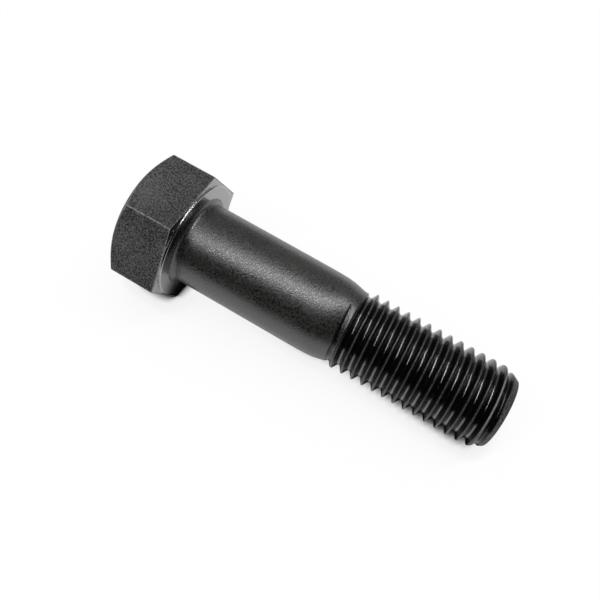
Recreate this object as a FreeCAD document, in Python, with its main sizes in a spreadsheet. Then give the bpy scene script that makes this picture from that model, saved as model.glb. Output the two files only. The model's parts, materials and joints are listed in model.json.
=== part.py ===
import FreeCAD, Part
import os
import Sketcher

# A hex-headed track shoe bolt, 3/4-10 UNC by 3 inches, forged and rolled in one piece.
# It is drawn with its own axis along X, from the middle of the bearing face to the tip,
# and then turned about Y, so that it lies as it would on a bench: on the bearing side
# of one flat of its head, and on the last full thread. The origin is the middle of the
# bearing face.

SIZES = [
    ("nominal_width", 19.05, "the bolt's nominal diameter, 3/4 inch"),
    ("across_flats", 28.575, "hexagon for a 1 1/8 inch spanner"),
    ("corner_radius", 0.4, "rounding of the six edges between the flats"),
    ("head_height", 13.0, "bearing face to crown"),
    ("crown_inset", 1.075, "flats' width less the diameter of the flat crown"),
    ("crown_angle", 33.0, "degrees that the crown falls away towards the corners"),
    ("washer_face_inset", 0.775, "flats' width less the diameter of the bearing face"),
    ("washer_face_height", 0.5, "bearing face above the hexagon"),
    ("fillet_radius", 1.2, "between bearing face and shank"),
    ("shank_excess", 0.45, "diameter of the plain shank over the nominal"),
    ("bolt_length", 76.2, "bearing face to tip, 3 inches"),
    ("thread_length", 36.35, "first groove to tip"),
    ("crest_loss", 0.1, "diameter over the crests under the nominal"),
    ("thread_depth", 1.425, "crests down to the roots"),
    ("thread_pitch", 2.54, "ten threads to the inch"),
    ("crest_flat", 0.32, "width of the crests"),
    ("flank_angle", 30.0, "degrees of each flank from square to the axis"),
    ("runout_turns", 0.5, "turns over which the first groove fades out"),
    ("neck_depth", 0.775, "crests down to the blank under the thread"),
    ("neck_length", 0.3, "neck before the first groove"),
    ("taper_length", 3.8, "shank down to the neck"),
    ("tip_depth", 1.6, "crests down to the edge of the end face"),
    ("tip_length", 3.0, "chamfer at the end"),
    ("cutter_margin", 0.1, "how far the flanks of the groove run on above the crests"),
    ("cutter_reach", 0.5, "how far a cutter's section runs on outside the metal"),
]
SHANK = "((sizes.nominal_width + sizes.shank_excess) / 2)"
CREST = "((sizes.nominal_width - sizes.crest_loss) / 2)"
ROOT = f"({CREST} - sizes.thread_depth)"
NECK = f"({CREST} - sizes.neck_depth)"
FLANK_SLOPE = "tan(sizes.flank_angle * 1deg)"
THREAD_START = "(sizes.bolt_length - sizes.thread_length)"
LEAST_CUT = 1.0  # cubic millimetres: a feature that takes less away has cut nothing

doc = FreeCAD.newDocument("track_shoe_bolt")


def make_sheet():
    """Put every size in the sheet, one row each: name, value and note."""
    sheet = doc.addObject("Spreadsheet::Sheet", "sizes")
    for row, (name, value, note) in enumerate(SIZES, start=1):
        sheet.set(f"A{row}", name)
        sheet.set(f"B{row}", str(value))
        sheet.set(f"C{row}", note)
        sheet.setAlias(f"B{row}", name)
    doc.recompute()


def own_datum(body, role):
    """Find one of the body's own planes or axes by its role."""
    return next(datum for datum in body.Origin.OriginFeatures if datum.Role == role)


def add_sketch(body, name, plane):
    """Make a sketch on one of the body's own planes."""
    sketch = body.newObject("Sketcher::SketchObject", name)
    sketch.AttachmentSupport = [(own_datum(body, plane), "")]
    sketch.MapMode = "FlatFace"
    return sketch


def value_of(sketch, expression):
    """Work out an expression in the sheet's sizes as a plain number."""
    return FreeCAD.Units.Quantity(sketch.evalExpression(expression)).Value


def draw_outline(sketch, corners, hollow=None):
    """Draw a closed outline through corners given as pairs of expressions, each corner
    tied to the sheet. The side that starts at corner number hollow is a hollow quarter
    arc whose radius is its height, and every other side is straight."""
    points = [FreeCAD.Vector(value_of(sketch, x), value_of(sketch, y), 0) for x, y in corners]
    for number, (start, end) in enumerate(zip(points, points[1:] + points[:1])):
        if number == hollow:
            centre = FreeCAD.Vector(end.x, start.y, 0)
            circle = Part.Circle(centre, FreeCAD.Vector(0, 0, 1), (start - centre).Length)
            first = circle.parameter(start)
            sketch.addGeometry(Part.ArcOfCircle(circle, first, circle.parameter(end)), False)
        else:
            sketch.addGeometry(Part.LineSegment(start, end), False)
    count = len(corners)
    for number in range(count):
        tie = Sketcher.Constraint("Coincident", number, 2, (number + 1) % count, 1)
        sketch.addConstraint(tie)
    for number, (corner, point) in enumerate(zip(corners, points)):
        for kind, length, value in zip(("DistanceX", "DistanceY"), corner, point):
            place = sketch.addConstraint(Sketcher.Constraint(kind, -1, 1, number, 1, value))
            sketch.setExpression(f"Constraints[{place}]", length)
    if hollow is not None:
        x, y = corners[hollow]
        radius = f"{y} - ({corners[(hollow + 1) % count][1]})"
        value = value_of(sketch, radius)
        place = sketch.addConstraint(Sketcher.Constraint("Radius", hollow, value))
        sketch.setExpression(f"Constraints[{place}]", radius)


def add_head(body):
    """The hexagon, one flat down, with rounded edges and a crown that falls away."""
    sketch = add_sketch(body, "hexagon", "YZ_Plane")
    sketch.setExpression("AttachmentOffset.Base.z", "-sizes.head_height")
    corner = "sizes.across_flats / sqrt(3)"
    flat = "sizes.across_flats / 2"
    draw_outline(sketch, [
        (corner, "0"),
        (f"{corner} / 2", flat),
        (f"-{corner} / 2", flat),
        (f"-{corner}", "0"),
        (f"-{corner} / 2", f"-{flat}"),
        (f"{corner} / 2", f"-{flat}"),
    ])
    head = body.newObject("PartDesign::Pad", "head")
    head.Profile = sketch
    head.setExpression("Length", "sizes.head_height - sizes.washer_face_height")
    doc.recompute()

    edges = [
        f"Edge{number}"
        for number, edge in enumerate(head.Shape.Edges, start=1)
        if edge.BoundBox.XLength > edge.BoundBox.YLength + edge.BoundBox.ZLength
    ]
    rounding = body.newObject("PartDesign::Fillet", "rounded_edges")
    rounding.Base = (head, edges)
    rounding.setExpression("Radius", "sizes.corner_radius")

    sketch = add_sketch(body, "crown_outline", "XZ_Plane")
    crown = "(sizes.across_flats - sizes.crown_inset) / 2"
    outside = f"({corner} + sizes.cutter_reach)"
    fall = f"({outside} - {crown}) * tan(sizes.crown_angle * 1deg)"
    draw_outline(sketch, [
        ("-sizes.head_height", crown),
        ("-sizes.head_height", outside),
        (f"-sizes.head_height + {fall}", outside),
    ])
    crown_cut = body.newObject("PartDesign::Groove", "crown")
    crown_cut.Profile = sketch
    crown_cut.ReferenceAxis = (own_datum(body, "X_Axis"), [""])
    crown_cut.Angle = 360


def add_shank(body):
    """Bearing face, fillet, plain shank, taper to the neck, and the blank of the thread."""
    sketch = add_sketch(body, "shank_outline", "XZ_Plane")
    washer = "(sizes.across_flats - sizes.washer_face_inset) / 2"
    rise = f"({CREST} - {NECK}) * {FLANK_SLOPE}"
    draw_outline(sketch, [
        ("-sizes.head_height / 2", "0"),
        ("-sizes.head_height / 2", washer),
        ("0", washer),
        ("0", f"{SHANK} + sizes.fillet_radius"),
        ("sizes.fillet_radius", SHANK),
        (f"{THREAD_START} - sizes.neck_length - sizes.taper_length", SHANK),
        (f"{THREAD_START} - sizes.neck_length", NECK),
        (THREAD_START, NECK),
        (f"{THREAD_START} + {rise}", CREST),
        ("sizes.bolt_length - sizes.tip_length", CREST),
        ("sizes.bolt_length", f"{CREST} - sizes.tip_depth"),
        ("sizes.bolt_length", "0"),
    ], hollow=3)
    shank_body = body.newObject("PartDesign::Revolution", "shank")
    shank_body.Profile = sketch
    shank_body.ReferenceAxis = (own_datum(body, "X_Axis"), [""])
    shank_body.Angle = 360


def add_thread(body):
    """A right-hand groove from the neck past the tip. A short groove goes the other way from
    its start and climbs out of the neck, where the rolled thread fades out. It is cut first,
    because the full groove leaves it no clean wall to start from."""
    sketch = add_sketch(body, "groove_outline", "XZ_Plane")
    half_mouth = f"((sizes.thread_pitch - sizes.crest_flat) / 2 + sizes.cutter_margin * {FLANK_SLOPE})"
    half_root = f"({half_mouth} - (sizes.thread_depth + sizes.cutter_margin) * {FLANK_SLOPE})"
    draw_outline(sketch, [
        (f"{THREAD_START} - {half_root}", f"-{ROOT}"),
        (f"{THREAD_START} + {half_root}", f"-{ROOT}"),
        (f"{THREAD_START} + {half_mouth}", f"-({CREST} + sizes.cutter_margin)"),
        (f"{THREAD_START} + {half_mouth}", f"-({CREST} + sizes.cutter_reach)"),
        (f"{THREAD_START} - {half_mouth}", f"-({CREST} + sizes.cutter_reach)"),
        (f"{THREAD_START} - {half_mouth}", f"-({CREST} + sizes.cutter_margin)"),
    ])
    fade = body.newObject("PartDesign::SubtractiveHelix", "thread_runout")
    fade.Profile = sketch
    fade.ReferenceAxis = (own_datum(body, "X_Axis"), [""])
    fade.Mode = "height-turns-growth"
    fade.Reversed = True
    climb = f"{NECK} - {ROOT} + sizes.cutter_margin"
    fade.setExpression("Height", "sizes.thread_pitch * sizes.runout_turns")
    fade.setExpression("Turns", "sizes.runout_turns")
    fade.setExpression("Growth", f"({climb}) / sizes.runout_turns")

    groove = body.newObject("PartDesign::SubtractiveHelix", "thread")
    groove.Profile = sketch
    groove.ReferenceAxis = (own_datum(body, "X_Axis"), [""])
    groove.Mode = "pitch-height-angle"
    groove.setExpression("Pitch", "sizes.thread_pitch")
    groove.setExpression("Height", "sizes.thread_length + sizes.thread_pitch")
    groove.Angle = 0


def check_all(body):
    """Stop if anything in the document failed, or the bolt isn't one valid solid."""
    for item in doc.Objects:
        if "Invalid" in item.State or "Error" in item.State:
            raise RuntimeError(f"{item.Name} failed: {item.State}")
    for name in ("crown", "thread_runout", "thread"):
        cut = doc.getObject(name)
        if cut.BaseFeature.Shape.Volume - cut.Shape.Volume < LEAST_CUT:
            raise RuntimeError(f"{name} cut nothing")
    shape = body.Shape
    if shape.isNull() or not shape.isValid() or len(shape.Solids) != 1:
        raise RuntimeError(f"{body.Label} is not one valid solid")


make_sheet()
bolt = doc.addObject("PartDesign::Body", "bolt")
bolt.Label = "track_shoe_bolt"
add_head(bolt)
add_shank(bolt)
add_thread(bolt)
lift = f"(sizes.across_flats / 2 - {CREST})"
reach = "(sizes.bolt_length - sizes.tip_length + sizes.washer_face_height)"
bolt.setExpression(
    "Placement", f"placement(vector(0; 0; 0); rotation(vector(0; 1; 0); atan({lift} / {reach})))"
)
doc.recompute()
check_all(bolt)

os.makedirs("parts", exist_ok=True)
bolt.Shape.exportStep(f"parts/{bolt.Label}.step")
box = bolt.Shape.BoundBox
print("volume", round(bolt.Shape.Volume, 1))
print("x", box.XMin, box.XMax, "y", box.YMin, box.YMax, "z", box.ZMin, box.ZMax)
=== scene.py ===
import json
import math

import bmesh
import bpy
from mathutils import Euler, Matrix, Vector


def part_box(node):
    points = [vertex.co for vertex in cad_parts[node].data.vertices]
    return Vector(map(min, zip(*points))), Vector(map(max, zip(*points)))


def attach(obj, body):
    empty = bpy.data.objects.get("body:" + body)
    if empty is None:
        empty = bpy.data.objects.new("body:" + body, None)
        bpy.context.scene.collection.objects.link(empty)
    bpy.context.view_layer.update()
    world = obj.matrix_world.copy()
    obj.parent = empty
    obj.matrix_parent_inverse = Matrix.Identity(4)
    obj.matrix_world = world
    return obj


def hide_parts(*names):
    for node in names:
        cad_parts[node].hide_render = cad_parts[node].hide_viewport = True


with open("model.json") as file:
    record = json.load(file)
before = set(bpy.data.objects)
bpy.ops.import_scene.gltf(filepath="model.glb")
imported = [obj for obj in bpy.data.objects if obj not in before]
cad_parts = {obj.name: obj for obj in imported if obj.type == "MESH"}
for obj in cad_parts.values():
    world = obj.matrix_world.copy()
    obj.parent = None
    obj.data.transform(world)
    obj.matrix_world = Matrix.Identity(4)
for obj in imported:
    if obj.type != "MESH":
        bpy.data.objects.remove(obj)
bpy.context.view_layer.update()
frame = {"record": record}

bl_info = {
    "name": "Track Shoe Bolt",
    "version": (1, 0, 0),
    "blender": (4, 5, 0),
    "location": "View3D > Sidebar > Bolt",
    "description": "Models a blackened track shoe bolt over its solid and lays it on a white floor",
    "category": "Add Mesh",
}

# The bolt is modelled along its own axis, in metres from the middle of the bearing face:
# along runs to the tip, and angles turn about the axis from the side of +Y towards the top.
# The seam of the mesh is at the middle of the top flat, where the thread's first cut begins.
# Half a turn on, at the angle called FULL_CUT, the groove has its whole depth.

MM = 0.001
NODE = "track_shoe_bolt"
MOUNTS = {mount["name"]: mount for mount in frame["record"]["mounts"]}
SHANK = MOUNTS["plain_shank"]["dims"]
THREAD = MOUNTS["threaded_end"]["dims"]
HEAD_HEIGHT = Vector(MOUNTS["spanner_hexagon"]["pos_m"]).length
BOLT_LENGTH = Vector(MOUNTS["threaded_end"]["pos_m"]).length
AXIS = Vector(MOUNTS["bearing_face"]["axis"])
FULL_TURN = 2 * math.pi
FLATS = 6
SECTOR = FULL_TURN / FLATS
SEAM = math.radians(90)
FULL_CUT = math.radians(270)


def length(name, note, default):
    """A property that holds a length."""
    return bpy.props.FloatProperty(
        name=name, description=note, default=default, unit="LENGTH", precision=5
    )


def turn(name, note, degrees):
    """A property that holds an angle."""
    return bpy.props.FloatProperty(
        name=name, description=note, default=math.radians(degrees), subtype="ANGLE"
    )


def share(name, note, default):
    """A property that holds a share from none to all."""
    return bpy.props.FloatProperty(name=name, description=note, default=default, min=0.0, max=1.0)


def colour(name, note, default):
    """A property that holds a colour."""
    return bpy.props.FloatVectorProperty(
        name=name, description=note, default=default, size=3, min=0.0, max=1.0, subtype="COLOR"
    )


def grey(name, note, level):
    """A property that holds a colour, and starts as a grey."""
    return colour(name, note, (level, level, level))


class BoltSizes(bpy.types.PropertyGroup):
    """The bolt's sizes."""

    across_flats: length("Across Flats", "Spanner size of the head", 28.575 * MM)
    head_height: length("Head Height", "Bearing face to crown", HEAD_HEIGHT)
    corner_radius: length("Corner Radius", "Rounding between the flats", 0.4 * MM)
    crown_inset: length("Crown Inset", "Flats' width less the crown's diameter", 1.075 * MM)
    crown_angle: turn("Crown Angle", "How steeply the crown falls towards the corners", 33)
    face_inset: length("Face Inset", "Flats' width less the bearing face's diameter", 0.775 * MM)
    face_height: length("Face Height", "Bearing face above the hexagon", 0.5 * MM)
    edge_rounding: length("Edge Rounding", "Rounding of the head's sharp edges", 0.2 * MM)
    fillet_radius: length("Fillet Radius", "Between bearing face and shank", 1.2 * MM)
    shank_width: length("Shank Width", "Diameter of the plain shank", 2 * SHANK["r_mm"] * MM)
    bolt_length: length("Length", "Bearing face to tip", BOLT_LENGTH)
    taper_length: length("Taper Length", "Shank down to the neck", 3.8 * MM)
    neck_length: length("Neck Length", "Neck before the first groove", 0.3 * MM)
    neck_depth: length("Neck Depth", "Crests down to the neck", 0.775 * MM)
    thread_width: length("Thread Width", "Diameter over the crests", 2 * THREAD["r_mm"] * MM)
    thread_length: length("Thread Length", "First groove to tip", THREAD["length_mm"] * MM)
    thread_pitch: length("Pitch", "Ten threads to the inch", 2.54 * MM)
    thread_depth: length("Thread Depth", "Crests down to the roots", 1.425 * MM)
    crest_flat: length("Crest Flat", "Width of the crests", 0.32 * MM)
    flank_angle: turn("Flank Angle", "Each flank from square to the axis", 30)
    cutter_margin: length("Run-Out Height", "How far the run-out climbs out of the neck", 0.1 * MM)
    runout_turns: bpy.props.FloatProperty(
        name="Run-Out", description="Turns over which the first groove fades out", default=0.5
    )
    tip_depth: length("Tip Depth", "Crests down to the edge of the end face", 1.6 * MM)
    tip_length: length("Tip Length", "Chamfer at the end", 3.0 * MM)


class FinishSettings(bpy.types.PropertyGroup):
    """Colours and gloss of the bolt's finishes."""

    head_black: grey("Head", "Grainy black of the forged head", 0.048)
    bearing_grey: grey("Bearing Face", "Smooth dark steel of the bearing face", 0.27)
    shank_black: colour("Shank", "Satin black of the shank", (0.011, 0.011, 0.010))
    thread_black: grey("Thread", "Oily black of the thread", 0.003)
    bare_steel: colour("Bare Steel", "Steel where the finish has worn off", (0.40, 0.39, 0.38))
    head_roughness: share("Head Roughness", "Matte head", 0.60)
    shank_roughness: share("Shank Roughness", "Satin shank", 0.34)
    thread_roughness: share("Thread Roughness", "Wet thread", 0.14)
    grain: length("Grain", "Size of the finish's grain", 0.36 * MM)


class StageSettings(bpy.types.PropertyGroup):
    """Floor, room, lamp, curtain and camera."""

    floor_width: length("Floor Width", "Width of the white floor", 3.0)
    floor_white: grey("Floor", "Colour of the floor", 0.95)
    shadow_share: share("Shadow", "How much of the bolt's shadow the open floor shows", 0.12)
    contact_reach: length("Contact Reach", "How near the floor the bolt shades it", 5 * MM)
    gloss_white: share("Gloss White", "How white the bolt's gloss sees the open floor", 0.45)
    room_grey: grey("Room", "How much light the room gives", 0.55)
    lamp_length: length("Lamp Length", "Long side of the strip lamp overhead", 1.00)
    lamp_width: length("Lamp Width", "Short side of the strip lamp", 0.03)
    lamp_height: length("Lamp Height", "Height of the strip lamp over the bolt", 0.5)
    lamp_turn: turn("Lamp Turn", "How far the strip lamp is turned off the bolt's length", 50)
    lamp_power: bpy.props.FloatProperty(
        name="Lamp Power", description="Power of the strip lamp", default=2.2, unit="POWER"
    )
    # The curtain is a painted reflection: a glow that only the bolt's gloss sees, dark in front and
    # grey behind.
    curtain_foot: length("Curtain Foot", "How near the bolt its foot lies, in front", 0.08)
    curtain_reach: length("Curtain Reach", "How far the curtain stands off the bolt", 0.6)
    curtain_height: length("Curtain Height", "How high the curtain stands", 1.6)
    curtain_front_glow: grey("Curtain Front", "Dark part of the curtain, at the camera's side", 0.01)
    curtain_back_glow: grey("Curtain Back", "Grey part of the curtain, behind the bolt", 0.30)
    camera_place: bpy.props.FloatVectorProperty(
        name="Camera Place", description="Where the camera stands", size=3, unit="LENGTH",
        default=(0.05525, -0.06506, 0.11886),
    )
    camera_turn: bpy.props.FloatVectorProperty(
        name="Camera Turn", description="How the camera is turned about X, Y and Z", size=3,
        default=(math.radians(30.205), math.radians(-3.792), math.radians(29.693)),
        subtype="EULER",
    )
    lens: bpy.props.FloatProperty(
        name="Lens", description="Focal length for a sensor 36 mm wide", default=37.765,
        subtype="DISTANCE_CAMERA",
    )


def smaller(first, second, rounding):
    """The smaller of two lengths, with the corner where they cross rounded."""
    return (first + second - math.hypot(first - second, rounding)) / 2


def larger(first, second, rounding):
    """The larger of two lengths, with the corner where they cross rounded."""
    return (first + second + math.hypot(first - second, rounding)) / 2


def off_corner(angle):
    """How far an angle is from the nearest corner of the hexagon."""
    return abs((angle + SECTOR / 2) % SECTOR - SECTOR / 2)


class Outline:
    """The bolt's form, worked out from its sizes."""

    TAPER_ROUNDING = 2.0 * MM
    CREST_ROUNDING = 0.07 * MM
    ROOT_ROUNDING = 0.16 * MM

    def __init__(self, sizes):
        self.flat = sizes.across_flats / 2
        self.head_end = -sizes.head_height
        self.corner_radius = sizes.corner_radius
        self.crown = self.flat - sizes.crown_inset / 2
        self.crown_slope = math.tan(sizes.crown_angle)
        self.face = self.flat - sizes.face_inset / 2
        self.face_height = sizes.face_height
        self.edge_rounding = sizes.edge_rounding
        self.fillet = sizes.fillet_radius
        self.shank = sizes.shank_width / 2
        self.crest = sizes.thread_width / 2
        self.root = self.crest - sizes.thread_depth
        self.neck = self.crest - sizes.neck_depth
        self.pitch = sizes.thread_pitch
        self.flank_slope = math.tan(sizes.flank_angle)
        self.mouth = (sizes.thread_pitch - sizes.crest_flat) / 2
        self.bottom = self.mouth - sizes.thread_depth * self.flank_slope
        self.tip = sizes.bolt_length
        self.thread_start = sizes.bolt_length - sizes.thread_length
        self.taper_end = self.thread_start - sizes.neck_length
        self.taper_start = self.taper_end - sizes.taper_length
        self.taper_slope = (self.shank - self.neck) / sizes.taper_length
        self.runout = sizes.runout_turns
        self.climb = self.neck - self.root + sizes.cutter_margin
        self.tip_start = sizes.bolt_length - sizes.tip_length
        self.tip_slope = sizes.tip_depth / sizes.tip_length
        flat_to_corner = math.cos(SECTOR / 2)
        self.corner_centre = (self.flat - self.corner_radius) / flat_to_corner
        self.corner_turn = math.atan2(
            self.corner_radius / 2, self.corner_centre + self.corner_radius * flat_to_corner
        )

    def hexagon(self, angle):
        """Distance from the axis to the side of the head."""
        off = off_corner(angle)
        if off > self.corner_turn:
            return self.flat / math.cos(SECTOR / 2 - off)
        across = self.corner_centre * math.sin(off)
        bulge = math.sqrt(self.corner_radius ** 2 - across ** 2)
        return self.corner_centre * math.cos(off) + bulge

    def blank(self, along):
        """Radius of the shank, the taper, the neck and the thread before its groove is cut."""
        taper = self.shank - (along - self.taper_start) * self.taper_slope
        body = smaller(self.shank, taper, self.TAPER_ROUNDING * self.taper_slope)
        body = larger(body, self.neck, self.CREST_ROUNDING)
        shoulder = self.neck + (along - self.thread_start) / self.flank_slope
        shoulder = smaller(shoulder, self.crest, self.CREST_ROUNDING)
        body = larger(body, shoulder, self.CREST_ROUNDING)
        chamfer = self.crest - (along - self.tip_start) * self.tip_slope
        return smaller(body, chamfer, self.CREST_ROUNDING)

    def groove_middle(self, angle, number):
        """Where the middle of a turn of the groove crosses an angle."""
        return self.thread_start + self.pitch * ((angle - FULL_CUT) / FULL_TURN + number)

    def groove(self, along, angle):
        """Radius of the groove's wall, which rises out of the neck at the run-out."""
        first = self.groove_middle(angle, 0)
        number = max(0, round((along - first) / self.pitch))
        turns = (angle - FULL_CUT) / FULL_TURN + number
        bottom = self.root + self.climb * max(0.0, -turns) / self.runout
        off_middle = abs(along - first - number * self.pitch)
        off_bottom = larger(off_middle - self.bottom, 0.0, self.ROOT_ROUNDING)
        return bottom + off_bottom / self.flank_slope

    def radius(self, along, angle):
        """Radius of the finished bolt between the head and the tip."""
        return smaller(self.blank(along), self.groove(along, angle), self.CREST_ROUNDING)


# Columns of the mesh from a corner of the hexagon to the middle of a flat: even ones over
# the rounded corner, then some whose distance doubles, then even ones again.

CORNER_STEPS = 5
GROWING_STEPS = 4
EVEN_STEPS = 9


def column_angles(outline):
    """Angles of the mesh's columns, one full turn from the seam."""
    offsets = [outline.corner_turn * step / CORNER_STEPS for step in range(CORNER_STEPS)]
    offsets += [outline.corner_turn * 2 ** step for step in range(GROWING_STEPS)]
    last = offsets[-1]
    rest = SECTOR / 2 - last
    offsets += [last + rest * step / EVEN_STEPS for step in range(1, EVEN_STEPS + 1)]
    sector = [-offset for offset in reversed(offsets[1:])] + offsets[:-1]
    corners = [SEAM + SECTOR / 2 * (2 * side + 1) for side in range(FLATS)]
    return [corner + offset for corner in corners for offset in sector] + [SEAM + FULL_TURN]


# Rows of the mesh across half a pitch, from the middle of the groove to the middle of the
# crest, as shares of the groove's flat bottom, of its flank and of half the crest.

ROOT_PLACES = (0.0, 0.5, 0.95)
FLANK_PLACES = (0.08, 0.26, 0.52, 0.76, 0.92)
CREST_PLACES = (0.0, 0.45, 1.0)


def row_offsets(outline):
    """Places of the mesh's rows across one pitch, from the middle of the groove."""
    flank = outline.mouth - outline.bottom
    crest = outline.pitch / 2 - outline.mouth
    half = [outline.bottom * place for place in ROOT_PLACES]
    half += [outline.bottom + flank * place for place in FLANK_PLACES]
    half += [outline.mouth + crest * place for place in CREST_PLACES]
    return [-offset for offset in reversed(half[1:])] + half[:-1]


# Steps of a rounded edge with the wear of each, steps of the fillet, rings along the shank
# and the taper, and rings in the end face as shares of the root's radius.

EDGE_STEPS = 4
EDGE_WEAR = (0.0, 0.6, 1.0, 0.6, 0.0)
FILLET_STEPS = 8
SHANK_RINGS = 8
TAPER_RINGS = 10
END_FACE_RINGS = (0.9, 0.45)

HEXAGON_EDGES = 3  # rounded edges from the crown to the underside, which are black
CROWN_SHARE = 1 / 3  # the most of the crown's slope that a rounded edge takes up


def rounded_corner(before, corner, after, reach):
    """Points of a curve that cuts a corner, from reach before it to reach after it."""
    start = corner + (before - corner).normalized() * reach
    end = corner + (after - corner).normalized() * reach
    shares = [step / EDGE_STEPS for step in range(EDGE_STEPS + 1)]
    return [start * (1 - s) ** 2 + corner * 2 * s * (1 - s) + end * s ** 2 for s in shares]


def head_section(outline, angle):
    """The head's section at one angle, from the middle of the crown to the bearing face:
    pairs of a point (along, radius) and how worn it is."""
    side = outline.hexagon(angle)
    rounding = outline.edge_rounding
    crown_fall = (side - outline.crown) * outline.crown_slope
    inner_crown = Vector((outline.head_end, outline.crown / 2))
    crown_rim = Vector((outline.head_end, outline.crown))
    flat_top = Vector((outline.head_end + crown_fall, side))
    flat_end = Vector((-outline.face_height, side))
    step_foot = Vector((-outline.face_height, outline.face))
    step_top = Vector((0.0, outline.face))
    fillet_top = Vector((0.0, outline.shank + outline.fillet))
    reach = min(rounding, (flat_top - crown_rim).length * CROWN_SHARE)
    section = [(inner_crown, 0.0)]
    section += zip(rounded_corner(inner_crown, crown_rim, flat_top, reach), EDGE_WEAR)
    section += zip(rounded_corner(crown_rim, flat_top, flat_end, reach), EDGE_WEAR)
    section += zip(rounded_corner(flat_top, flat_end, step_foot, rounding), EDGE_WEAR)
    section.append((step_foot, 0.0))
    half_step = outline.face_height / 2
    section += zip(rounded_corner(step_foot, step_top, fillet_top, half_step), EDGE_WEAR)
    for step in range(FILLET_STEPS + 1):
        bend = math.pi / 2 * step / FILLET_STEPS
        along = outline.fillet * (1 - math.cos(bend))
        radius = outline.shank + outline.fillet * (1 - math.sin(bend))
        section.append((Vector((along, radius)), 0.0))
    return section


def shank_places(outline, end):
    """Places of the closed rings along the shank and the taper, up to the first row."""
    start = outline.fillet
    taper = outline.taper_start - outline.TAPER_ROUNDING * 2
    shank_step = (taper - start) / SHANK_RINGS
    taper_step = (end - taper) / TAPER_RINGS
    places = [start + shank_step * ring for ring in range(1, SHANK_RINGS + 1)]
    return places + [taper + taper_step * ring for ring in range(1, TAPER_RINGS)] + [end]


HEAD, BEARING, SHANK_FINISH, THREAD_FINISH, ROOT_FINISH = range(5)

# Wear at the middle of the hexagon's corners, before it is held at 1, and shares of the
# thread's depth: up to where a face counts as uncut, from where it is wet, and from what
# height over the roots it is rubbed bare.

CORNER_WEAR = 1.6
BARELY_CUT = 0.03
WET_FROM = 0.9
RUBBED_FROM = 0.94


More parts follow.
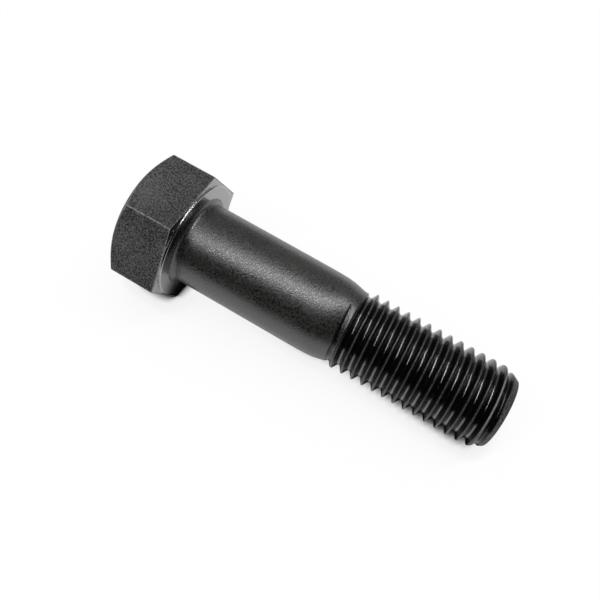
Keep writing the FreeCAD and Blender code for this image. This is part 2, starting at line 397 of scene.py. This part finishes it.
class BoltMesh:
    """Builds the bolt's skin column by column: rings round the head and the shank, and rows
    that climb with the thread."""

    def __init__(self, outline):
        self.outline = outline
        self.mesh = bmesh.new()
        self.wear = self.mesh.verts.layers.float.new("wear")
        self.depth = self.mesh.verts.layers.float.new("depth")
        self.angles = column_angles(outline)
        self.count = len(self.angles) - 1
        self.across = AXIS.to_track_quat("X", "Z")

    def add_point(self, along, radius, angle, wear=0.0, depth=0.0):
        """Add one vertex by its place along the bolt, its radius and its angle."""
        local = Vector((along, radius * math.cos(angle), radius * math.sin(angle)))
        vertex = self.mesh.verts.new(self.across @ local)
        vertex[self.wear] = wear
        vertex[self.depth] = depth
        return vertex

    def add_face(self, corners, finish):
        """Add a face, leaving out the corners that fall together."""
        kept = list(dict.fromkeys(corners))
        if len(kept) > 2:
            face = self.mesh.faces.new(kept)
            face.material_index = finish
            face.smooth = True

    def join_rings(self, first, second, finish):
        """Join two closed rings of one vertex a column."""
        for column in range(self.count):
            after = (column + 1) % self.count
            self.add_face((first[column], second[column], second[after], first[after]), finish)

    def close_ring(self, ring, along, outward):
        """Close a ring of the head or the tip with triangles about a point on the axis."""
        middle = self.add_point(along, 0.0, 0.0)
        for column in range(self.count):
            after = (column + 1) % self.count
            corners = (ring[column], ring[after], middle)
            self.add_face(corners if outward else tuple(reversed(corners)), HEAD)

    def corner_wear(self, angle):
        """How worn the hexagon is at an angle: most at its corners, and not on its flats."""
        off = off_corner(angle) / self.outline.corner_turn
        return min(1.0, CORNER_WEAR - CORNER_WEAR * off)

    def add_head(self):
        """The crown, the flats, the underside, the bearing face and the fillet."""
        outline = self.outline
        sections = [head_section(outline, angle) for angle in self.angles[:-1]]
        rings = []
        for places in zip(*sections):
            ring = []
            for angle, (point, wear) in zip(self.angles, places):
                if point.y > outline.face:
                    wear = max(wear, self.corner_wear(angle))
                ring.append(self.add_point(point.x, point.y, angle, wear))
            rings.append(ring)
        self.close_ring(rings[0], outline.head_end, outward=False)
        hexagon_end = HEXAGON_EDGES * (EDGE_STEPS + 1)
        fillet = len(rings) - FILLET_STEPS - 1
        for place, (first, second) in enumerate(zip(rings, rings[1:])):
            below_hexagon = BEARING if place < fillet else SHANK_FINISH
            self.join_rings(first, second, HEAD if place < hexagon_end else below_hexagon)
        return rings[-1]

    def add_shank(self, ring, end):
        """The plain shank and the taper, up to the ring where the thread's rows begin."""
        for along in shank_places(self.outline, end):
            radius = self.outline.blank(along)
            following = [self.add_point(along, radius, angle) for angle in self.angles[:-1]]
            self.join_rings(ring, following, SHANK_FINISH)
            ring = following
        return ring

    def add_thread(self, start_ring, start, end):
        """The thread, as rows that follow its helix and stop at the rings at both ends."""
        outline = self.outline
        offsets = row_offsets(outline)
        turns = math.ceil((end - start) / outline.pitch) + 2
        end_ring = [self.add_thread_point(end, angle) for angle in self.angles[:-1]]
        columns = []
        for column, angle in enumerate(self.angles[:-1]):
            points = []
            for number in range(-1, turns):
                middle = outline.groove_middle(angle, number)
                for offset in offsets:
                    along = middle + offset
                    if along <= start:
                        points.append(start_ring[column])
                    elif along >= end:
                        points.append(end_ring[column])
                    else:
                        points.append(self.add_thread_point(along, angle))
            columns.append(points)
        one_turn = len(offsets)
        last = columns[0][one_turn:] + [end_ring[0]] * one_turn
        for first, second in zip(columns, columns[1:] + [last]):
            for row in range(len(first) - 1):
                corners = (first[row], first[row + 1], second[row + 1], second[row])
                self.add_face(corners, self.thread_finish(corners, row < one_turn * 2))
        return end_ring

    def thread_finish(self, corners, near_start):
        """The finish of a face of the thread: like the shank where the neck is uncut, like
        the head on the chamfer, and wet in the roots."""
        depths = [corner[self.depth] for corner in corners]
        if max(depths) < BARELY_CUT:
            if near_start:
                return SHANK_FINISH
            if min(corner.co.x for corner in corners) > AXIS.x * self.outline.tip_start:
                return HEAD
        return ROOT_FINISH if min(depths) > WET_FROM else THREAD_FINISH

    def add_thread_point(self, along, angle):
        """One vertex of the thread, with how far it is rubbed and how deep it is cut."""
        outline = self.outline
        whole_depth = outline.crest - outline.root
        radius = outline.radius(along, angle)
        height = (radius - outline.root) / whole_depth
        rubbed = max(0.0, (height - RUBBED_FROM) / (1.0 - RUBBED_FROM))
        cut = min(1.0, max(0.0, (outline.blank(along) - radius) / whole_depth))
        return self.add_point(along, radius, angle, wear=rubbed, depth=cut)

    def add_tip(self, ring, start):
        """The rounded edge of the end face, which the last groove breaks, and the end face."""
        outline = self.outline
        middle = Vector((outline.tip, 0.0))
        sections = []
        for angle in self.angles[:-1]:
            before = Vector((start, outline.radius(start, angle)))
            edge = Vector((outline.tip, outline.radius(outline.tip, angle)))
            section = rounded_corner(before, edge, middle, outline.CREST_ROUNDING)
            section += [Vector((outline.tip, outline.root * place)) for place in END_FACE_RINGS]
            sections.append(section)
        for points in zip(*sections):
            following = [
                self.add_point(point.x, point.y, angle)
                for point, angle in zip(points, self.angles)
            ]
            self.join_rings(ring, following, HEAD)
            ring = following
        self.close_ring(ring, outline.tip, outward=True)

    def build(self):
        """The whole bolt as one closed skin."""
        outline = self.outline
        start = outline.groove_middle(SEAM, 0) - outline.bottom * 2
        end = outline.tip - outline.CREST_ROUNDING * 2
        ring = self.add_head()
        ring = self.add_shank(ring, start)
        ring = self.add_thread(ring, start, end)
        self.add_tip(ring, end)
        bmesh.ops.recalc_face_normals(self.mesh, faces=self.mesh.faces)
        return self.mesh


def mesh_data(name, mesh, materials):
    """Turn a finished mesh into mesh data with its materials."""
    data = bpy.data.meshes.new(name)
    mesh.to_mesh(data)
    mesh.free()
    for material in materials:
        data.materials.append(material)
    return data


def add_object(name, data):
    """Put a new object in the scene."""
    made = bpy.data.objects.new(name, data)
    bpy.context.scene.collection.objects.link(made)
    return made


# The two colours that Blender's Mix node takes, and the one that it gives.

FIRST_COLOUR, SECOND_COLOUR, MIXED_COLOUR = 6, 7, 2


def new_material(name):
    """A material whose tree of nodes is empty, and that tree."""
    material = bpy.data.materials.new(name)
    material.use_nodes = True
    material.node_tree.nodes.clear()
    return material, material.node_tree


def set_input(tree, socket, value):
    """Set an input, or link it where the value is another node's output."""
    if isinstance(value, bpy.types.NodeSocket):
        tree.links.new(value, socket)
    else:
        socket.default_value = value


def add_node(tree, kind, inputs=(), **settings):
    """Add a node, set its settings, and set or link its inputs."""
    node = tree.nodes.new(kind)
    for name, value in settings.items():
        setattr(node, name, value)
    for name, value in dict(inputs).items():
        set_input(tree, node.inputs[name], value)
    return node


def object_place(tree):
    """Where a point of the surface is on its object, in metres."""
    return add_node(tree, "ShaderNodeTexCoord").outputs["Object"]


def painted(tree, layer):
    """What a layer of the mesh's vertices holds."""
    return add_node(tree, "ShaderNodeAttribute", attribute_name=layer).outputs["Fac"]


def noise(tree, place, size, detail=3.0):
    """Noise whose features are about the given size."""
    node = add_node(tree, "ShaderNodeTexNoise", {
        "Vector": place, "Scale": 1 / size, "Detail": detail,
    })
    return node.outputs["Fac"]


def spread(tree, value, low, high, to_low=0.0, to_high=1.0):
    """Stretch a value from one range to another, and hold it there."""
    node = add_node(tree, "ShaderNodeMapRange", {
        "Value": value, "From Min": low, "From Max": high, "To Min": to_low, "To Max": to_high,
    })
    return node.outputs["Result"]


def math_of(tree, operation, first, second):
    """One step of arithmetic."""
    return add_node(tree, "ShaderNodeMath", {0: first, 1: second}, operation=operation).outputs[0]


def mix_colour(tree, factor, first, second):
    """Mix two colours."""
    node = add_node(tree, "ShaderNodeMix", {"Factor": factor}, data_type="RGBA")
    for number, value in ((FIRST_COLOUR, first), (SECOND_COLOUR, second)):
        linked = isinstance(value, bpy.types.NodeSocket)
        set_input(tree, node.inputs[number], value if linked else (*value, 1.0))
    return node.outputs[MIXED_COLOUR]


# Sizes of the cloudy patches and of the lumps, in grains, and how much of the relief is
# lumps. Blender's noise keeps near its middle, so each pattern stretches a part of its range.

CLOUD_SIZE = 30
LUMP_SIZE = 4
LUMP_DETAIL = 2.0
LUMP_SHARE = 0.4
RELIEF_HEIGHT = 0.1 * MM
GRAIN_SHADE = (0.38, 0.62)
GRAIN_GLOSS = (0.35, 0.65)
GRAIN_WEAR = (0.35, 0.6)
CLOUD_WEAR = (0.4, 0.6)
NOISE_RANGE = (0.3, 0.7)

# The darkest and lightest of a finish, as times its own black, and the least of the wear
# that the grain and the clouds leave.

SHADE_RANGE = (0.2, 1.8)
LEAST_GRAIN_WEAR = 0.2
LEAST_CLOUD_WEAR = 0.65

OXIDE_IOR = 1.8
BEARING_GLOSS = (0.10, 0.20)
BEARING_RELIEF = 0.3

# What each black finish is like beside its colour and its roughness.

HEAD_LOOK = {
    "uneven": 0.25, "shine": 0.2, "mottle": 0.80, "relief": 1.0, "worn": 1.0, "painted_groove_shade": 0.0,
}
SHANK_LOOK = {
    "uneven": 0.25, "shine": 0.5, "mottle": 1.0, "relief": 0.75, "worn": 0.25, "painted_groove_shade": 0.0,
}
# The thread and its roots carry painted shade: their black darkens where they are cut deep.
THREAD_LOOK = {
    "uneven": 0.6, "shine": 0.18, "mottle": 0.30, "relief": 0.6, "worn": 0.16, "painted_groove_shade": 0.5,
}
ROOT_LOOK = {
    "uneven": 0.7, "shine": 0.7, "mottle": 0.30, "relief": 0.5, "worn": 0.0, "painted_groove_shade": 0.5,
}


def black_finish(name, settings, black, roughness, *, uneven, shine, mottle, relief, worn, painted_groove_shade):
    """A black oxide finish: a fine grain in colour, gloss and height, larger cloudy patches,
    bare steel where it is worn, and painted shade, a darker black, where the thread is deep."""
    material, tree = new_material(name)
    place = object_place(tree)
    grain = noise(tree, place, settings.grain)
    cloud = noise(tree, place, settings.grain * CLOUD_SIZE)
    lumps = noise(tree, place, settings.grain * LUMP_SIZE, LUMP_DETAIL)

    fine = spread(tree, grain, *GRAIN_SHADE, 1 - mottle, 1 + mottle)
    broad = spread(tree, cloud, *NOISE_RANGE, -mottle / 2, mottle / 2)
    shade = math_of(tree, "ADD", fine, broad)
    # Painted shade: the colour darkens where the thread is cut deep, as if shade fell in its
    # grooves.
    if painted_groove_shade:
        groove_shade_factor = spread(tree, painted(tree, "depth"), 0.0, 1.0, 1.0, 1.0 - painted_groove_shade)
        shade = math_of(tree, "MULTIPLY", shade, groove_shade_factor)
    dark, light = (tuple(channel * times for channel in black) for times in SHADE_RANGE)
    skin = mix_colour(tree, spread(tree, shade, *SHADE_RANGE), dark, light)

    bare = 0.0
    if worn:
        in_grain = spread(tree, grain, *GRAIN_WEAR, LEAST_GRAIN_WEAR, 1.0)
        in_clouds = spread(tree, cloud, *CLOUD_WEAR, worn * LEAST_CLOUD_WEAR, worn)
        bare = math_of(tree, "MULTIPLY", painted(tree, "wear"), in_grain)
        bare = math_of(tree, "MULTIPLY", bare, in_clouds)
        skin = mix_colour(tree, bare, skin, settings.bare_steel)

    smooth, rough = roughness * (1 - uneven), min(1.0, roughness * (1 + uneven))
    gloss = spread(tree, grain, *GRAIN_GLOSS, smooth, rough)
    grains = math_of(tree, "MULTIPLY", grain, 1 - LUMP_SHARE)
    lumps = math_of(tree, "MULTIPLY", lumps, LUMP_SHARE)
    height = add_node(tree, "ShaderNodeBump", {
        "Height": math_of(tree, "ADD", grains, lumps), "Strength": relief,
        "Distance": RELIEF_HEIGHT,
    })
    shader = add_node(tree, "ShaderNodeBsdfPrincipled", {
        "Base Color": skin, "Roughness": gloss, "Metallic": bare, "IOR": OXIDE_IOR,
        "Specular IOR Level": shine, "Normal": height.outputs["Normal"],
    })
    add_node(tree, "ShaderNodeOutputMaterial", {"Surface": shader.outputs["BSDF"]})
    return material


def bearing_finish(settings):
    """Smooth dark steel with a faint grain, which mirrors the shank and the floor."""
    material, tree = new_material("bearing_steel")
    grain = noise(tree, object_place(tree), settings.grain)
    skin = mix_colour(tree, painted(tree, "wear"), settings.bearing_grey, settings.bare_steel)
    gloss = spread(tree, grain, *NOISE_RANGE, *BEARING_GLOSS)
    height = add_node(tree, "ShaderNodeBump", {
        "Height": grain, "Strength": BEARING_RELIEF, "Distance": RELIEF_HEIGHT,
    })
    shader = add_node(tree, "ShaderNodeBsdfPrincipled", {
        "Base Color": skin, "Roughness": gloss, "Metallic": 1.0,
        "Normal": height.outputs["Normal"],
    })
    add_node(tree, "ShaderNodeOutputMaterial", {"Surface": shader.outputs["BSDF"]})
    return material


def finishes(settings):
    """The finishes of the head, the bearing face, the shank, the thread and its wet roots, in
    the order of their numbers."""
    oily, wet = settings.thread_black, settings.thread_roughness
    return (
        black_finish(
            "head_black", settings, settings.head_black, settings.head_roughness, **HEAD_LOOK
        ),
        bearing_finish(settings),
        black_finish(
            "shank_black", settings, settings.shank_black, settings.shank_roughness, **SHANK_LOOK
        ),
        black_finish("thread_black", settings, oily, wet, **THREAD_LOOK),
        black_finish("root_black", settings, oily, wet, **ROOT_LOOK),
    )


class BOLT_OT_track_shoe_bolt(bpy.types.Operator):
    """Model the bolt's skin over its solid, with its black finishes and its bearing face"""

    bl_idname = "bolt.track_shoe_bolt"
    bl_label = "Track Shoe Bolt"

    def execute(self, context):
        outline = Outline(context.scene.bolt_sizes)
        skin = BoltMesh(outline).build()
        bolt = add_object("bolt_skin", mesh_data("bolt", skin, finishes(context.scene.bolt_finish)))
        context.view_layer.objects.active = bolt
        bolt.modifiers.new("even_flats", "WEIGHTED_NORMAL")
        bpy.ops.object.modifier_apply(modifier="even_flats")
        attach(bolt, "root")
        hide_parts(NODE)
        return {"FINISHED"}


# The floor darkens by how open it is, from 0 under the bolt to 1 away from it, through its real
# shadow and through a painted shadow in its colour. These are the ranges over which the shadow
# clears, the painted shadow fades and the gloss sees white.

SHADOW_CLEARS = (0.38, 0.66)
PAINTED_SHADOW_FADES = (0.8, 1.0)
GLOSS_WHITENS = (0.9, 1.0)
# Painted shadow: the floor's colour goes down to this share of its white where it touches the bolt.
PAINTED_SHADOW_TONE = 0.03  # colour of the floor where it touches the bolt, as times its own white
OPENNESS_SAMPLES = 16
WHITE = (1.0, 1.0, 1.0)


def white_floor(settings):
    """A floor that the camera sees as white, with a little of the bolt's shadow on it, and a
    painted shadow in its colour where the bolt comes near.
    """
    material, tree = new_material("white_floor")
    white = add_node(tree, "ShaderNodeEmission", {"Color": (*WHITE, 1.0), "Strength": 1.0})
    rays = add_node(tree, "ShaderNodeLightPath").outputs
    openness = add_node(
        tree, "ShaderNodeAmbientOcclusion", {"Distance": settings.contact_reach},
        samples=OPENNESS_SAMPLES,
    ).outputs["AO"]
    # Painted shadow: the floor's own colour darkens where the bolt comes near it.
    painted_shadow_colour = tuple(channel * PAINTED_SHADOW_TONE for channel in settings.floor_white)
    light = spread(tree, openness, *PAINTED_SHADOW_FADES)
    floor_colour_with_painted_shadow = mix_colour(tree, light, painted_shadow_colour, settings.floor_white)
    paint = add_node(tree, "ShaderNodeBsdfDiffuse", {"Color": floor_colour_with_painted_shadow})
    clear = spread(tree, openness, *SHADOW_CLEARS, 0.0, 1.0 - settings.shadow_share)
    seen = math_of(tree, "MAXIMUM", rays["Is Camera Ray"], rays["Is Transmission Ray"])
    in_view = math_of(tree, "MULTIPLY", seen, clear)
    gloss = spread(tree, openness, *GLOSS_WHITENS, 0.0, settings.gloss_white)
    in_gloss = math_of(tree, "MULTIPLY", rays["Is Glossy Ray"], gloss)
    lit = math_of(tree, "MAXIMUM", in_view, in_gloss)
    blend = add_node(tree, "ShaderNodeMixShader", {
        0: lit, 1: paint.outputs[0], 2: white.outputs[0],
    })
    add_node(tree, "ShaderNodeOutputMaterial", {"Surface": blend.outputs[0]})
    return material


def add_floor(settings, middle):
    """The floor, square round the point under the bolt's middle."""
    reach = settings.floor_width / 2
    sheet = bmesh.new()
    sheet.faces.new([
        sheet.verts.new(middle + Vector((x * reach, y * reach, 0.0)))
        for x, y in ((-1, -1), (1, -1), (1, 1), (-1, 1))
    ])
    floor = add_object("floor", mesh_data("floor", sheet, [white_floor(settings)]))


def add_lamp(settings, place):
    """The soft strip lamp that hangs level over the bolt."""
    data = bpy.data.lights.new("strip_lamp", "AREA")
    data.shape = "RECTANGLE"
    data.size = settings.lamp_length
    data.size_y = settings.lamp_width
    data.energy = settings.lamp_power
    lamp = add_object("strip_lamp", data)
    lamp.location = place
    lamp.rotation_euler = Euler((0.0, 0.0, settings.lamp_turn))


CURTAIN_SIDES = 32
CURTAIN_LIFT = 1.0 * MM


def curtain_glow_for_gloss(settings, centre):
    """A painted reflection: a glow that is dark in front of the bolt and grey behind it."""
    material, tree = new_material("curtain")
    across = add_node(tree, "ShaderNodeSeparateXYZ", {"Vector": object_place(tree)}).outputs["Y"]
    half = settings.curtain_reach / 2
    behind = spread(tree, across, centre.y - half, centre.y + half)
    shade = mix_colour(tree, behind, settings.curtain_front_glow, settings.curtain_back_glow)
    glow = add_node(tree, "ShaderNodeEmission", {"Color": shade, "Strength": 1.0})
    add_node(tree, "ShaderNodeOutputMaterial", {"Surface": glow.outputs[0]})
    return material


def add_curtain(settings, centre):
    """A round glowing curtain that shows only in the bolt's gloss, as a painted reflection. Its
    foot lies on the floor, near the bolt in front and far from it behind."""
    foot = (settings.curtain_reach + settings.curtain_foot) / 2
    profile = (
        (foot, foot - settings.curtain_foot, CURTAIN_LIFT),
        (settings.curtain_reach, 0.0, CURTAIN_LIFT),
        (settings.curtain_reach, 0.0, settings.curtain_height),
    )
    sheet = bmesh.new()
    rings = []
    for reach, back, height in profile:
        ring = []
        for side in range(CURTAIN_SIDES):
            angle = FULL_TURN * side / CURTAIN_SIDES
            off = Vector((math.cos(angle), math.sin(angle), 0.0)) * reach
            ring.append(sheet.verts.new(centre + off + Vector((0.0, back, height))))
        rings.append(ring)
    for lower, upper in zip(rings, rings[1:]):
        for side in range(CURTAIN_SIDES):
            after = (side + 1) % CURTAIN_SIDES
            sheet.faces.new((lower[side], lower[after], upper[after], upper[side]))
    glow = curtain_glow_for_gloss(settings, centre)
    curtain = add_object("curtain", mesh_data("curtain", sheet, [glow]))
    curtain.visible_camera = False
    curtain.visible_diffuse = False
    curtain.visible_shadow = False


def white_room(settings):
    """A world that the camera and the bolt's gloss see as white, and that lights it gently."""
    world = bpy.data.worlds.new("white_room")
    world.use_nodes = True
    tree = world.node_tree
    tree.nodes.clear()
    rays = add_node(tree, "ShaderNodeLightPath").outputs
    seen = math_of(tree, "MAXIMUM", rays["Is Camera Ray"], rays["Is Glossy Ray"])
    seen = math_of(tree, "MAXIMUM", seen, rays["Is Transmission Ray"])
    light = mix_colour(tree, seen, settings.room_grey, WHITE)
    sky = add_node(tree, "ShaderNodeBackground", {"Color": light, "Strength": 1.0})
    add_node(tree, "ShaderNodeOutputWorld", {"Surface": sky.outputs[0]})
    return world


SENSOR_WIDTH = 36.0
NEAREST_SEEN = 1.0 * MM


def add_camera(settings):
    """The camera, at the photograph's viewing angle."""
    eye = bpy.data.cameras.new("camera")
    eye.lens = settings.lens
    eye.sensor_width = SENSOR_WIDTH
    eye.clip_start = NEAREST_SEEN
    camera = add_object("camera", eye)
    camera.location = settings.camera_place
    camera.rotation_euler = Euler(settings.camera_turn, "XYZ")
    return camera


class BOLT_OT_stage(bpy.types.Operator):
    """Lay a white floor under the bolt, and set the room, the lamp and the camera"""

    bl_idname = "bolt.stage"
    bl_label = "Stage"

    def execute(self, context):
        settings = context.scene.bolt_stage
        low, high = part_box(NODE)
        middle = (low + high) / 2
        under = Vector((middle.x, middle.y, low.z))
        add_floor(settings, under)
        add_lamp(settings, middle + Vector((0.0, 0.0, settings.lamp_height)))
        add_curtain(settings, under)
        context.scene.world = white_room(settings)
        context.scene.camera = add_camera(settings)
        context.scene.view_settings.view_transform = "Standard"
        return {"FINISHED"}


class BOLT_PT_panel(bpy.types.Panel):
    """The bolt, its stage and their settings"""

    bl_idname = "BOLT_PT_panel"
    bl_label = "Track Shoe Bolt"
    bl_space_type = "VIEW_3D"
    bl_region_type = "UI"
    bl_category = "Bolt"

    def draw(self, context):
        column = self.layout.column()
        for operator in OPERATORS:
            column.operator(operator.bl_idname)
        for name, group in GROUPS.items():
            for setting in group.__annotations__:
                column.prop(getattr(context.scene, name), setting)


GROUPS = {"bolt_sizes": BoltSizes, "bolt_finish": FinishSettings, "bolt_stage": StageSettings}
OPERATORS = (BOLT_OT_track_shoe_bolt, BOLT_OT_stage)


def register():
    for name, group in GROUPS.items():
        bpy.utils.register_class(group)
        setattr(bpy.types.Scene, name, bpy.props.PointerProperty(type=group))
    for shown in (*OPERATORS, BOLT_PT_panel):
        bpy.utils.register_class(shown)


def unregister():
    for shown in (BOLT_PT_panel, *OPERATORS):
        bpy.utils.unregister_class(shown)
    for name, group in GROUPS.items():
        delattr(bpy.types.Scene, name)
        bpy.utils.unregister_class(group)


def main():
    register()
    bpy.ops.bolt.track_shoe_bolt()
    bpy.ops.bolt.stage()


if __name__ == "__main__":
    main()
